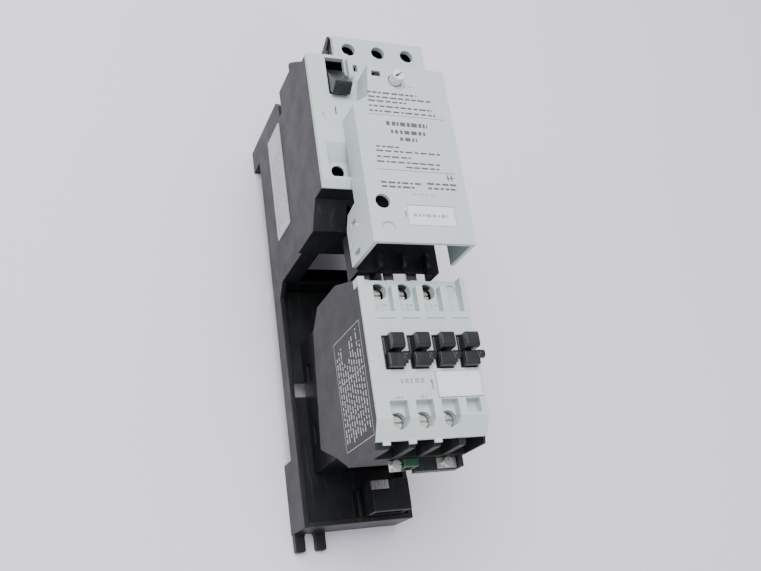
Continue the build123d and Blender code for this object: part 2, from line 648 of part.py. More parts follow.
def coil_terminal_carrier():
    """The green block that holds the coil's terminals under the lower lip."""
    y0 = CONTACTOR_Y0 - 3.4
    body = block(-4.3, 1.7, y0, CONTACTOR_Y0 - GAP, COIL_Z - 4.2, COIL_Z + 4.6)
    body = body - block(-3.2, 0.6, y0 - 1, y0 + 1.8, COIL_Z - 3.0, COIL_Z + 3.2)
    return round_edges(body, Axis.X, 0.4, lambda e: e.length > 5)


def coil_terminal_plate():
    """The plated terminal strips beside the green block, bored for their screws."""
    y0 = CONTACTOR_Y0 - 4.2
    plates = []
    for x, half in COIL_STRIPS:
        strip = block(x - half, x + half, y0, CONTACTOR_Y0 - GAP, COIL_Z, COIL_Z + 1.2)
        plates.append(strip - post(x, y0 + 2.0, COIL_Z - 1, COIL_Z + 2, 1.2))
    return plates


def coil_terminal_screws():
    """The two screws of the coil terminals."""
    return [small_screw(x, CONTACTOR_Y0 - 2.2, COIL_Z + 3.3) for x, _ in COIL_STRIPS]


def coil_shelf():
    """The dark shelf and side wall under the coil terminals."""
    y0 = CONTACTOR_Y0 - 4.6
    shelf = block(2.2, 20.8, y0, CONTACTOR_Y0 + 1, COIL_Z - 4.6, COIL_Z - 0.15)
    for x, _ in COIL_STRIPS:
        shelf = shelf - post(x, CONTACTOR_Y0 - 2.2, COIL_Z - 3, COIL_Z, 1.6)
    return shelf + block(19.6, 20.8, y0, CONTACTOR_Y0 + 1, COIL_Z - 4.6, COIL_Z + 4.4)


def small_screw(x, y, head_z):
    """A small cheese-head screw, its head top at head_z."""
    screw = post(x, y, head_z - 2.1, head_z, 1.9) + post(x, y, head_z - 5.6, head_z - 2.1, 1.2)
    return screw - block(x - 3, x + 3, y - 0.35, y + 0.35, head_z - 0.9, head_z + 1)


# ---------------------------------------------------------------- link

LINK_Z = SEAT_Z - STRIP_THICK


def link_bar(x_breaker, x_contactor):
    """One bar from a breaker load terminal to a contactor line terminal, with a sideways jog."""
    half = 2.3
    z0 = LINK_Z - STRIP_THICK
    bar = block(x_breaker - half, x_breaker + half, 3.0, BREAKER_LOAD_Y + 2.6, z0, LINK_Z)
    jog = sorted((x_breaker, x_contactor))
    bar += block(jog[0] - half, jog[1] + half, 0.5, 5.0, z0, LINK_Z)
    bar += block(x_contactor - half, x_contactor + half, LINE_SCREW_Y - 2.6, 2.0, z0, LINK_Z)
    for x, y in ((x_breaker, BREAKER_LOAD_Y), (x_contactor, LINE_SCREW_Y)):
        bar = bar - post(x, y, z0 - 1, LINK_Z + 1, SCREW_R + GAP)
    return bar


def link_bars():
    """The three plated bars between the breaker and the contactor."""
    return [link_bar(a, b) for a, b in zip(POLE_X, COLUMN_X)]


def link_insulator():
    """The dark cover over the bars: a trough open towards the base, with a raised round rib."""
    x0 = min(POLE_X[0], COLUMN_X[0]) - 4.4
    x1 = max(POLE_X[2], COLUMN_X[2]) + 4.4
    y0 = SHOULDER_Y + 0.4
    y1 = BREAKER_Y0 - 0.4
    shell = block(x0, x1, y0, y1, LINK_Z - 7, LINK_Z + 4)
    shell = shell - block(x0 + 1.4, x1 - 1.4, y0 - 1, y1 + 1, LINK_Z - 8, LINK_Z + 2.4)
    for x in COLUMN_X[:POLES]:
        fin = block(x + 3.4, x + 5.0, y0, y0 + 7, LINK_Z + 3, LINK_Z + 9)
        fin = fillet([e for e in fin.edges().filter_by(Axis.X) if e.center().Z > LINK_Z + 8], 2.4)
        shell = shell + fin
    return shell


# ---------------------------------------------------------------- breaker

HOUSING_FRONT_Z = BREAKER_FRONT_Z - 2.5
POLE_SEAT_Z = BREAKER_FRONT_Z - 15.6
RECESS_DEPTH = 4.4
POLE_LINE_HEAD_Z = POLE_SEAT_Z + 5.4
POLE_LOAD_HEAD_Z = LINK_Z + CLAMP_THICK + HEAD_THICK
LEVER_WALL_X = LEVER_X1 + 1.4
CAP_X0 = BREAKER_X0 + 12.6


def breaker_housing():
    """The black housing: an open-fronted shell with pole walls, bearings and terminal mouths."""
    x0, x1 = BREAKER_X0, BREAKER_X1
    zf = HOUSING_FRONT_Z
    outline = [(BREAKER_Y0, BREAKER_BACK_Z), (BREAKER_Y0, 89), (MODULE_Y0, 96), (MODULE_Y0, zf),
               (CAP_Y1, zf), (CAP_Y1, 84), (BREAKER_Y1, 84), (BREAKER_Y1, BREAKER_BACK_Z)]
    outer = side_slab(outline, x0, x1)
    corner = block(x0 - 1, CAP_X0, LEVER_SIDE_Y1, CAP_Y1 + 1, 100.5, zf + 1)
    corner += side_slab([(LEVER_SIDE_Y1, 100.6), (BREAKER_Y1 + 1, 89), (CAP_Y1 + 1, 84), (CAP_Y1 + 1, 101)],
                        x0 - 1, CAP_X0 - 0.8)
    cavity = side_slab(
        [(BREAKER_Y0 + WALL, BREAKER_BACK_Z + WALL), (BREAKER_Y0 + WALL, 88), (MODULE_Y0 + WALL, 94.6),
         (MODULE_Y0 + WALL, zf + 1), (LEVER_SIDE_Y1 - 1.4, zf + 1), (LEVER_SIDE_Y1 - 1.4, 90),
         (BREAKER_Y1 - WALL, 86), (BREAKER_Y1 - WALL, BREAKER_BACK_Z + WALL)],
        x0 + WALL, x1 - WALL)
    shell = outer - corner - cavity
    for x in POLE_X:
        shell = shell - load_pocket(x) - line_pocket(x)
    shell = shell + pole_walls() + lever_bearings()
    fin = side_slab([(CAP_Y1 - 4, 99), (CAP_Y1, 96), (CAP_Y1 + 2.6, 103), (CAP_Y1 + 0.2, zf)],
                    CAP_X0 - 0.8, CAP_X0 + 0.5)
    return shell + fin


def load_pocket(x):
    """The space of one load terminal, open to the front and to the lower end."""
    half = POLE_PITCH / 2 - THIN
    pocket = block(x - half, x + half, BREAKER_Y0 + 1.6, BREAKER_LOAD_Y + 4.4, 86, 100)
    return pocket + block(x - 2.9, x + 2.9, BREAKER_Y0 - 1, BREAKER_Y0 + 3, 84.4, 92)


def line_pocket(x):
    """The space of one line terminal, with its wire mouth at the top end."""
    half = POLE_PITCH / 2 - THIN
    pocket = block(x - half, x + half, BREAKER_LINE_Y - 4.2, CAP_Y1 - 1.6, 89, HOUSING_FRONT_Z + 1)
    pocket += block(x - 2.8, x + 2.8, BREAKER_LINE_Y - 5.6, BREAKER_LINE_Y, 89, POLE_SEAT_Z + 1)
    return pocket + block(x - 4, x + 4, CAP_Y1 - 3, CAP_Y1 + 1, 89.4, 98)


def pole_walls():
    """The walls between the poles."""
    walls = None
    for x in [POLE_X[0] + POLE_PITCH / 2, POLE_X[1] + POLE_PITCH / 2]:
        wall = side_slab([(BREAKER_Y0 + 1, BREAKER_BACK_Z + 1), (BREAKER_Y0 + 1, 88), (MODULE_Y0 + 1, 94.6),
                          (MODULE_Y0 + 1, 95), (48.5, 95), (48.5, 86), (62.5, 86), (62.5, 93),
                          (BREAKER_LINE_Y - 4, 93), (BREAKER_LINE_Y - 4, 89), (BREAKER_Y1 - 1, 88.5),
                          (BREAKER_Y1 - 1, BREAKER_BACK_Z + 1)], x - THIN / 2, x + THIN / 2)
        walls = wall if walls is None else walls + wall
    wall_x = LEVER_X0 + 3.4
    walls += side_slab([(BREAKER_Y0 + 1, BREAKER_BACK_Z + 1), (BREAKER_Y0 + 1, 88), (MODULE_Y0 + 1, 94.6),
                        (45, 94.6), (45, 86), (BREAKER_Y1 - 1, 86), (BREAKER_Y1 - 1, BREAKER_BACK_Z + 1)],
                       wall_x - THIN / 2, wall_x + THIN / 2)
    return walls


def lever_bearings():
    """The two cheeks that carry the lever's pin, and the web that ties them to the top end."""
    y0, y1 = LEVER_Y - 3.4, LEVER_Y + 3.4
    cheeks = block(BREAKER_X0 + 1, LEVER_X0 - RUN_GAP, y0, y1, 88, HOUSING_FRONT_Z)
    inner_x0 = LEVER_X1 + RUN_GAP
    cheeks += block(inner_x0, inner_x0 + 1.5, y0, y1, 92.4, HOUSING_FRONT_Z)
    cheeks += block(inner_x0, inner_x0 + 1.5, y1 - 0.1, LEVER_SIDE_Y1, 98.5, HOUSING_FRONT_Z)
    pin = cross_pin(LEVER_Y, LEVER_Z, BREAKER_X0 + WALL, inner_x0 + 2.5, LEVER_PIN_R + 0.02)
    return cheeks - pin


def breaker_front():
    """The white front plate with the lever window, the recess at its foot and the terminal cap."""
    zf, z0 = BREAKER_FRONT_Z, HOUSING_FRONT_Z
    x0, x1 = BREAKER_X0, BREAKER_X1
    outline = [(x0, MODULE_Y0), (x1, MODULE_Y0), (x1, CAP_Y1), (CAP_X0, CAP_Y1),
               (CAP_X0, LEVER_SIDE_Y1), (x0, LEVER_SIDE_Y1)]
    plate = front_slab(outline, z0, zf)
    window = block(LEVER_X0 - 0.3, LEVER_X1 + 0.3, LEVER_Y - 8.0, LEVER_Y + 10.0, z0 - 1, zf + 1)
    plate = plate - window
    for x in POLE_X:
        plate = plate - post(x, BREAKER_LINE_Y, z0 - 1, zf + 1, BREAKER_HOLE_R)
    plate = plate - post(DIAL_X, DIAL_Y, z0 - 1, zf + 1, 2.1)
    test_x = test_place()
    slot_x0 = test_x - TEST_TRAVEL - 1.6
    plate = plate - block(slot_x0, test_x + 1.6, DIAL_Y + 0.6, DIAL_Y + 5.0, z0 - 1, zf + 1)
    recess_x0, recess_x1 = x0 + 3.4, LEVER_WALL_X + 3.4
    recess_y0, recess_y1, ramp_y = MODULE_Y0 + 4.4, MODULE_Y0 + 20, MODULE_Y0 + 13
    floor_z = zf - RECESS_DEPTH
    plate = plate + block(recess_x0 - 1, recess_x1 + 1, recess_y0 - 1, recess_y1, floor_z - 1.1, z0 + 0.1)
    plate = plate - side_slab([(recess_y0, floor_z), (ramp_y, floor_z), (recess_y1, zf), (recess_y1, zf + 1),
                               (recess_y0, zf + 1)], recess_x0, recess_x1)
    plate = plate - post(x0 + 8.6, MODULE_Y0 + 9, floor_z - 2, zf + 1, 2.7)
    rib = block(LEVER_X1 + 0.7, LEVER_X1 + 2.7, LEVER_Y - 1, LEVER_Y + 9, zf - 0.5, zf + 3.4)
    plate = plate + fillet([e for e in rib.edges().filter_by(Axis.X) if e.center().Z > zf + 3], 2.2)
    plate = plate - block(LEVER_X1 + 3.4, LEVER_X1 + 6.2, LEVER_Y + 4.4, LEVER_Y + 7.8, z0 - 1, zf + 1)
    plate = plate - block(x0 + 3.6, x0 + 4.5, MODULE_Y0 + 29.8, MODULE_Y0 + 33.4, zf - 0.8, zf + 1)
    lip = side_slab([(MODULE_Y0, zf), (MODULE_Y0 + 3.2, zf), (MODULE_Y0, zf - 1.8)], x0 - 1, x1 + 1)
    plate = plate - (lip - block(x0 - 2, x1 + 2, MODULE_Y0, MODULE_Y0 + 4, zf - 3, zf - 2))
    return plate


def test_place():
    """The middle of the test slide, in X."""
    return DIAL_X - 7.4


def cover_outline(inset):
    """The label cover's outline in X and Y, moved inwards by inset."""
    x0, x1 = COVER_X0 + inset, COVER_X1 - inset
    return [(x0, COVER_Y0 - (1 if inset else 0)), (x1, COVER_Y0 - (1 if inset else 0)),
            (x1, COVER_Y1 - inset), (x0 + 8.9, COVER_Y1 - inset),
            (x0 + 6.8, COVER_Y1 - 15.5 - inset), (x0, COVER_Y1 - 20 - inset)]


def label_cover():
    """The tall white cover: a thin box open at its back and at its lower end."""
    zf, zb = COVER_FRONT_Z, BREAKER_FRONT_Z + 0.02
    cover = front_slab(cover_outline(0), zb, zf)
    cover = cover - front_slab(cover_outline(COVER_WALL), zb - 1, zf - COVER_WALL)
    left_skirt = [(COVER_Y0, zf - 1), (COVER_Y0, COVER_SKIRT_Z), (9.2, COVER_SKIRT_Z - 0.5),
                  (14.8, 98.5), (16, 105.6), (16, zf - 1)]
    right_skirt = [(COVER_Y0, zf - 1), (COVER_Y0, COVER_SKIRT_Z + 4), (14.8, COVER_SKIRT_Z + 4),
                   (16, 105.6), (16, zf - 1)]
    cover += side_slab(left_skirt, COVER_X0, COVER_X0 + COVER_WALL)
    cover += side_slab(right_skirt, COVER_X1 - COVER_WALL, COVER_X1)
    for y0, z0, z1 in ((COVER_Y0 + 2.4, 99.5, 106.0), (COVER_Y0 + 15.0, 100.5, 105.5)):
        cover = cover - block(COVER_X0 - 1, COVER_X0 + COVER_WALL + 1, y0, y0 + 2.0, z0, z1)
    latch = side_slab([(COVER_Y0 + 6.4, 98.6), (COVER_Y0 + 8.0, 97.6), (COVER_Y0 + 14.0, 107.0),
                       (COVER_Y0 + 12.4, 108.0)], COVER_X0 - 0.9, COVER_X0 + 0.1)
    cover = cover + latch
    cover = cover - post(COVER_X0 + 6.1, COVER_Y0 + 17.1, zf - 3, zf + 1, 3.0)
    cover = cover - post(COVER_X0 + 6.9, COVER_Y0 + 5.9, zf - 1.0, zf + 1, 2.7)
    cover = cover - post(DIAL_X, DIAL_Y, zf - 3, zf + 1, DIAL_R + 0.4)
    test_x = test_place()
    slot_x0 = test_x - TEST_TRAVEL - 1.6
    cover = cover - block(slot_x0, test_x + 1.6, DIAL_Y + 1.4, DIAL_Y + 4.0, zf - 3, zf + 1)
    mx0, mx1, my0, my1 = cover_marker_box()
    cover = cover - block(mx0 - 0.2, mx1 + 0.2, my0 - 0.2, my1 + 0.2, zf - 0.7, zf + 1)
    cover = cover - block(mx0 - 1.4, mx0 - 0.7, my0 + 3, my0 + 5.6, zf - 1.2, zf + 1)
    return cover


def cover_marker_box():
    """The place of the cover's marker: low x, high x, low y, high y."""
    return (COVER_X0 + 15.9, COVER_X0 + 35.6, COVER_Y0 + 7.5, COVER_Y0 + 15.8)


def cover_marker():
    """The white marker in the label cover's window."""
    x0, x1, y0, y1 = cover_marker_box()
    plate = block(x0, x1, y0, y1, COVER_FRONT_Z - 0.7, COVER_FRONT_Z - 0.1)
    return round_edges(plate, Axis.Z, 0.4)


def toggle_lever():
    """The black toggle: a drum on the pin with a wedge-shaped nose, shown at O."""
    y, z = LEVER_Y, LEVER_Z
    x0, x1 = LEVER_X0, LEVER_X1
    drum = cross_pin(y, z, x0, x1, LEVER_DRUM_R)
    nose = side_slab([(y - 6.6, z + 16.2), (y - 9.6, z + 11.3), (y - 7, z + 9.3), (y - 5, z),
                      (y + 4, z), (y + 5.5, z + 7)], x0, x1)
    nose = fillet([e for e in nose.edges().filter_by(Axis.X) if e.center().Z > z + 10], 0.8)
    bore = cross_pin(y, z, x0 - 1, x1 + 1, LEVER_PIN_R + PIN_GAP)
    return drum + nose - bore


def lever_pin():
    """The steel pin that the toggle turns on."""
    return cross_pin(LEVER_Y, LEVER_Z, BREAKER_X0 + WALL + 0.1, LEVER_X1 + RUN_GAP + 1.5, LEVER_PIN_R)


BAR_Y = 55.5
BAR_Z = 92.2


def contact_bar():
    """The beam across the poles that carries the moving contacts."""
    x0 = BREAKER_X0 + WALL + 12
    x1 = BREAKER_X1 - WALL - 0.8
    beam = block(x0, x1, BAR_Y - 4.2, BAR_Y + 4.2, BAR_Z, BAR_Z + 4)
    for x in POLE_X:
        beam = beam + block(x - 2, x + 2, BAR_Y - 3, BAR_Y + 3, BAR_Z - 3.0, BAR_Z + 1)
    return beam


def moving_contacts():
    """The three moving bridges under the contact bar."""
    bridges = []
    z = BAR_Z - 3.0
    for x in POLE_X:
        bar = block(x - 2.4, x + 2.4, BAR_Y - 9, BAR_Y + 9, z - 1.2, z)
        bar += post(x, BAR_Y - 7, z - 2.2, z - 1.2, 1.9) + post(x, BAR_Y + 7, z - 2.2, z - 1.2, 1.9)
        bridges.append(bar)
    return bridges


FIXED_Z = BAR_Z - 3.0 - 2.2 - BAR_TRAVEL - 0.05


def contact_bar_springs():
    """The springs that lift the contact bar off the fixed contacts."""
    z0 = BREAKER_BACK_Z + WALL + 0.3
    springs = []
    for x in POLE_X:
        springs.append(coil(1.8, 0.5, 6, BAR_Z - 3.0 - 1.2 - z0 - 0.7, Pos(x, BAR_Y, z0)))
    return springs


def breaker_line_contacts():
    """The fixed contacts on the line side, from the screw seat to the contact button."""
    strips = []
    tip = BAR_Y + 7
    low = FIXED_Z - 1.0
    for x in POLE_X:
        strip = block(x - 2.6, x + 2.6, tip - 2.2, tip + 4.2, low - STRIP_THICK, low)
        strip += block(x - 2.6, x + 2.6, tip + 3, tip + 4.2, low - STRIP_THICK, POLE_SEAT_Z)
        strip += block(x - 2.6, x + 2.6, tip + 3, BREAKER_LINE_Y + 3.6, POLE_SEAT_Z - STRIP_THICK, POLE_SEAT_Z)
        strip += post(x, tip, low, FIXED_Z, 1.9)
        strips.append(strip - post(x, BREAKER_LINE_Y, POLE_SEAT_Z - 3, POLE_SEAT_Z + 2, SCREW_R))
    return strips


def breaker_load_contacts():
    """The fixed contacts on the load side, ending under the magnet coils."""
    strips = []
    for x in POLE_X:
        tip = BAR_Y - 7
        strip = block(x - 2.6, x + 2.6, tip - 10, tip + 2.2, FIXED_Z - 2.2, FIXED_Z - 1.0)
        strip += post(x, tip, FIXED_Z - 1.0, FIXED_Z, 1.9)
        strips.append(strip)
    return strips


def arc_plates():
    """The stacks of steel plates that split the arc, two stacks for each pole."""
    plates = []
    for x in POLE_X:
        for i in range(5):
            z = BREAKER_BACK_Z + WALL + 0.6 + 1.9 * i
            plates.append(block(x - 4.2, x + 4.2, BAR_Y + 4.4, BAR_Y + 17, z, z + 0.9))
    return plates


def magnet_coils():
    """The heavy wire coils that trip the breaker on a short circuit, shown as closed windings."""
    coils = []
    for x in POLE_X:
        body = Pos(x, BAR_Y - 15.5, 76.4) * Rot(90, 0, 0) * Cylinder(4.6, 9)
        bore = Pos(x, BAR_Y - 15.5, 76.4) * Rot(90, 0, 0) * Cylinder(2.2, 10)
        coils.append(body - bore)
    return coils


def bimetal_strips():
    """The bimetal strips of the overload release, one upright strip for each pole."""
    return [block(x - 2.4, x + 2.4, 28.4, 29.4, BREAKER_BACK_Z + WALL + 0.2, 96.4) for x in POLE_X]


TRIP_Z = BREAKER_FRONT_Z - 8.6


def trip_bar():
    """The sliding bar that the bimetals push, with an arm to the test slide."""
    x0 = BREAKER_X0 + WALL + 6
    x1 = BREAKER_X1 - WALL - 0.8
    test_x = test_place()
    bar = block(x0 + 3, x1, 27.2, 30.6, TRIP_Z, TRIP_Z + 2.2)
    bar += block(test_x - 1.4, test_x + 1.4, 30, DIAL_Y + 4.4, TRIP_Z, TRIP_Z + 2.2)
    return bar


def test_slide():
    """The small slide in the test slot, standing on the trip bar's arm."""
    x = test_place()
    y0, y1 = DIAL_Y + 1.8, DIAL_Y + 3.6
    slide = block(x - 0.9, x + 0.9, y0, y1, TRIP_Z + 2.2, COVER_FRONT_Z - 0.6)
    return round_edges(slide, Axis.Z, 0.3)


def setting_dial():
    """The setting dial: a slotted head on a stem with a cam at its foot."""
    x, y = DIAL_X, DIAL_Y
    top = COVER_FRONT_Z + 4.6
    head = post(x, y, BREAKER_FRONT_Z + 3, top, DIAL_R)
    head = fillet(head.edges().sort_by(Axis.Z)[-1:], 0.4)
    for i in range(16):
        angle = radians(360 / 16 * i)
        flute_x = x + (DIAL_R + 0.15) * cos(angle)
        flute_y = y + (DIAL_R + 0.15) * sin(angle)
        head = head - post(flute_x, flute_y, COVER_FRONT_Z - 3, top + 1, 0.35)
    stem = post(x, y, HOUSING_FRONT_Z - 3, BREAKER_FRONT_Z + 3, 1.9)
    cam = post(x, y, HOUSING_FRONT_Z - 5, HOUSING_FRONT_Z - 3, 3.6)
    slot = Pos(x, y, top) * Rot(0, 0, 35) * Box(2 * DIAL_R - 1.0, 0.9, 2.2)
    return head + stem + cam - slot


def main():
    """Build every piece and write it."""
    base_place = Pos(BASE_MID, 0, 0)
    save("mounting_base", base_place * mounting_base())
    save("base_label", base_place * base_label())
    save("rail_latch", base_place * rail_latch())
    save("rail_latch_spring", base_place * latch_spring())
    save("plug_block", base_place * plug_block())
    save("plug_contact", base_place * plug_contact())

    save("contactor_housing", contactor_housing())
    save("contactor_rear", contactor_rear())
    save("contactor_front", contactor_front())
    save("contactor_marker", contactor_marker())
    save("coil_bobbin", coil_bobbin())
    save("coil_winding", coil_winding())
    save("fixed_core", fixed_core())
    save("shading_rings", *shading_rings())
    save("core_pad", core_pad())
    save("moving_core", moving_core())
    save("contact_carrier", contact_carrier())
    save("contact_actuators", *contact_actuators())
    save("bridge_contacts", *bridge_contacts())
    save("bridge_springs", *bridge_springs())
    save("return_springs", *return_springs())
    save("contactor_line_contacts", *contact_strip(LINE_SCREW_Y))
    save("contactor_load_contacts", *contact_strip(LOAD_SCREW_Y))
    save("contactor_line_screws", *screw_row(COLUMN_X[:POLES], LINE_SCREW_Y, LINE_HEAD_Z, 5.2))
    save("contactor_load_screws", *screw_row(COLUMN_X[:POLES], LOAD_SCREW_Y, LOAD_HEAD_Z, 7.2))
    save("contactor_line_clamps", *clamp_row(COLUMN_X[:POLES], LINE_SCREW_Y, LINE_HEAD_Z))
    save("contactor_load_clamps", *clamp_row(COLUMN_X[:POLES], LOAD_SCREW_Y, LOAD_HEAD_Z, 2.9))
    save("coil_terminal_carrier", coil_terminal_carrier())
    save("coil_terminal_plate", *coil_terminal_plate())
    save("coil_terminal_screws", *coil_terminal_screws())

    save("link_bars", *link_bars())
    save("link_insulator", link_insulator())

    save("breaker_housing", breaker_housing())
    save("breaker_front", breaker_front())
    save("label_cover", label_cover())
    save("cover_marker", cover_marker())
    save("breaker_line_screws", *screw_row(POLE_X, BREAKER_LINE_Y, POLE_LINE_HEAD_Z, 5.2, 2.7))
    save("breaker_load_screws", *screw_row(POLE_X, BREAKER_LOAD_Y, POLE_LOAD_HEAD_Z, 4.0, 2.7))
    save("breaker_line_clamps", *clamp_row(POLE_X, BREAKER_LINE_Y, POLE_LINE_HEAD_Z))
    save("breaker_load_clamps", *clamp_row(POLE_X, BREAKER_LOAD_Y, POLE_LOAD_HEAD_Z, 3.0))
    save("breaker_line_contacts", *breaker_line_contacts())
    save("breaker_load_contacts", *breaker_load_contacts())
    save("arc_plates", *arc_plates())
    save("magnet_coils", *magnet_coils())
    save("bimetal_strips", *bimetal_strips())
    save("contact_bar", contact_bar())
    save("moving_contacts", *moving_contacts())
    save("contact_bar_springs", *contact_bar_springs())
    save("trip_bar", trip_bar())
    save("test_slide", test_slide())
    save("setting_dial", setting_dial())
    save("toggle_lever", toggle_lever())
    save("lever_pin", lever_pin())


main()
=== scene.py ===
import json
import random
from math import cos, radians, sin

import bmesh
import bpy
from mathutils import Matrix, Vector
from mathutils.bvhtree import BVHTree


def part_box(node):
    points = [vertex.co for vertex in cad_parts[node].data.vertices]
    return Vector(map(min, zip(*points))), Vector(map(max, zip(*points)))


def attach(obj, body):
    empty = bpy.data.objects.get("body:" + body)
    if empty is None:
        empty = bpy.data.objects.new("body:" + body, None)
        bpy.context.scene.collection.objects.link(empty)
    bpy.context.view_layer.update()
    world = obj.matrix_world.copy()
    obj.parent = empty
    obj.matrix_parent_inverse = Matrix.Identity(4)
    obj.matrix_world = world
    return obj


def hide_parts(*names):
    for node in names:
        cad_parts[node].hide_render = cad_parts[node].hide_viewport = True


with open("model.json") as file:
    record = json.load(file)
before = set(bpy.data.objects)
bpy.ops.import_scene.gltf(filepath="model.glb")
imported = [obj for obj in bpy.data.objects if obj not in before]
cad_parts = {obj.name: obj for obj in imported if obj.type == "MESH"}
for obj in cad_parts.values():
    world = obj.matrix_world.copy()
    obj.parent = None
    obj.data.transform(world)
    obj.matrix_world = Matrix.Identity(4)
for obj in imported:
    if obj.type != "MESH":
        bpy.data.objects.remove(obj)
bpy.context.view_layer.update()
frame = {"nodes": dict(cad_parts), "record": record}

# Motor starter on its rail base, lying on a pale table. All lengths are in metres.
MM = 0.001
INK_THICK = 0.02 * MM
SIDE_INK_THICK = 0.02 * MM
WELD_REACH = 0.002 * MM
RING_LIFT = 0.03 * MM
slot_of = {entry["node"]: entry["material_slot"] for entry in frame["record"]["subparts"]}
body_of = {node: body for body, nodes in frame["record"]["behaviour"]["bodies"].items() for node in nodes}
BASE_BODY = body_of["mounting_base"]


# ---------------------------------------------------------------- camera, light, table

def aim_camera():
    """The camera stands over the lower left corner and looks up along the starter."""
    right = Vector((0.922138, -0.140607, 0.360393))
    up = Vector((-0.012287, 0.920489, 0.390565))
    back = Vector((-0.386655, -0.364588, 0.847087))
    lens = bpy.data.cameras.new("camera")
    lens.sensor_width = 36.0
    lens.lens = 42.22
    lens.clip_start = 0.01
    lens.clip_end = 20.0
    camera = bpy.data.objects.new("camera", lens)
    turn = Matrix((right, up, back)).transposed().to_4x4()
    camera.matrix_world = Matrix.Translation((-0.140155, -0.141064, 0.391385)) @ turn
    bpy.context.collection.objects.link(camera)
    bpy.context.scene.camera = camera


def soft_box(name, place, target, size, power, tint=(1.0, 1.0, 1.0)):
    """A square studio light aimed at a point."""
    data = bpy.data.lights.new(name, "AREA")
    data.shape = "SQUARE"
    data.size = size
    data.energy = power
    data.color = tint
    lamp = bpy.data.objects.new(name, data)
    lamp.location = place
    lamp.rotation_euler = (Vector(target) - Vector(place)).to_track_quat("-Z", "Y").to_euler()
    bpy.context.collection.objects.link(lamp)


def light_room():
    """A bright even room: a pale sky, a big overhead box and two weaker fills."""
    world = bpy.data.worlds.new("room")
    world.use_nodes = True
    sky = world.node_tree.nodes["Background"]
    sky.inputs["Color"].default_value = (0.93, 0.92, 1.0, 1.0)
    sky.inputs["Strength"].default_value = 0.66
    bpy.context.scene.world = world
    soft_box("overhead", (-0.30, 0.30, 1.15), (0.0, 0.0, 0.05), 0.9, 20.0, (1.0, 0.985, 0.99))
    soft_box("left_fill", (-0.95, -0.25, 0.55), (0.0, 0.0, 0.05), 0.7, 0.25, (0.95, 0.97, 1.0))
    soft_box("foot_fill", (0.10, -1.0, 0.60), (0.0, -0.02, 0.06), 0.6, 2.6, (0.98, 0.98, 1.0))


# ---------------------------------------------------------------- shader groups

def new_group(name, inputs, outputs):
    """An empty shader group with float or vector sockets."""
    group = bpy.data.node_groups.new(name, "ShaderNodeTree")
    for socket, kind, value in inputs:
        item = group.interface.new_socket(name=socket, in_out="INPUT", socket_type=kind)
        if value is not None:
            item.default_value = value
    for socket, kind in outputs:
        group.interface.new_socket(name=socket, in_out="OUTPUT", socket_type=kind)
    return group, group.nodes.new("NodeGroupInput"), group.nodes.new("NodeGroupOutput")


def maths(tree, operation, first, second=None, clamp=False):
    """A Math node; each operand is a socket or a number."""
    node = tree.nodes.new("ShaderNodeMath")
    node.operation = operation
    node.use_clamp = clamp
    for i, value in enumerate((first, second)):
        if value is None:
            continue
        if isinstance(value, (int, float)):
            node.inputs[i].default_value = value
        else:
            tree.links.new(value, node.inputs[i])
    return node.outputs[0]


def noise(tree, coordinate, scale, detail=3.0, rough=0.5):
    """A Noise node's value output."""
    node = tree.nodes.new("ShaderNodeTexNoise")
    node.inputs["Detail"].default_value = detail
    node.inputs["Roughness"].default_value = rough
    if isinstance(scale, (int, float)):
        node.inputs["Scale"].default_value = scale
    else:
        tree.links.new(scale, node.inputs["Scale"])
    tree.links.new(coordinate, node.inputs["Vector"])
    return node.outputs["Fac"]


def grain_group():
    """Spark-eroded mould grain: a fine height, and slow cloudy patches."""
    group, given, result = new_group(
        "mould_grain",
        [("Place", "NodeSocketVector", None), ("Fineness", "NodeSocketFloat", 2600.0)],
        [("Height", "NodeSocketFloat"), ("Patches", "NodeSocketFloat")])
    fine = noise(group, given.outputs["Place"], given.outputs["Fineness"], 2.0, 0.6)
    coarse = noise(group, given.outputs["Place"], 900.0, 2.0)
    height = maths(group, "ADD", maths(group, "MULTIPLY", fine, 0.7), maths(group, "MULTIPLY", coarse, 0.3))
    group.links.new(height, result.inputs["Height"])
    group.links.new(noise(group, given.outputs["Place"], 85.0, 5.0, 0.62), result.inputs["Patches"])
    return group


def rub_group():
    """Rubbed corners: bright where the surface turns within the radius, broken up by noise."""
    group, given, result = new_group(
        "rubbed_edges",
        [("Place", "NodeSocketVector", None), ("Radius", "NodeSocketFloat", 0.0005)],
        [("Mask", "NodeSocketFloat")])
    bevel = group.nodes.new("ShaderNodeBevel")
    bevel.samples = 4
    group.links.new(given.outputs["Radius"], bevel.inputs["Radius"])
    surface = group.nodes.new("ShaderNodeNewGeometry")
    dot = group.nodes.new("ShaderNodeVectorMath")
    dot.operation = "DOT_PRODUCT"
    group.links.new(bevel.outputs["Normal"], dot.inputs[0])
    group.links.new(surface.outputs["Normal"], dot.inputs[1])
    turned = maths(group, "MULTIPLY", maths(group, "SUBTRACT", 1.0, dot.outputs["Value"]), 5.0, True)
    broken = maths(group, "MULTIPLY", noise(group, given.outputs["Place"], 320.0, 4.0, 0.7), 1.5, True)
    group.links.new(maths(group, "MULTIPLY", turned, broken, True), result.inputs["Mask"])
    return group


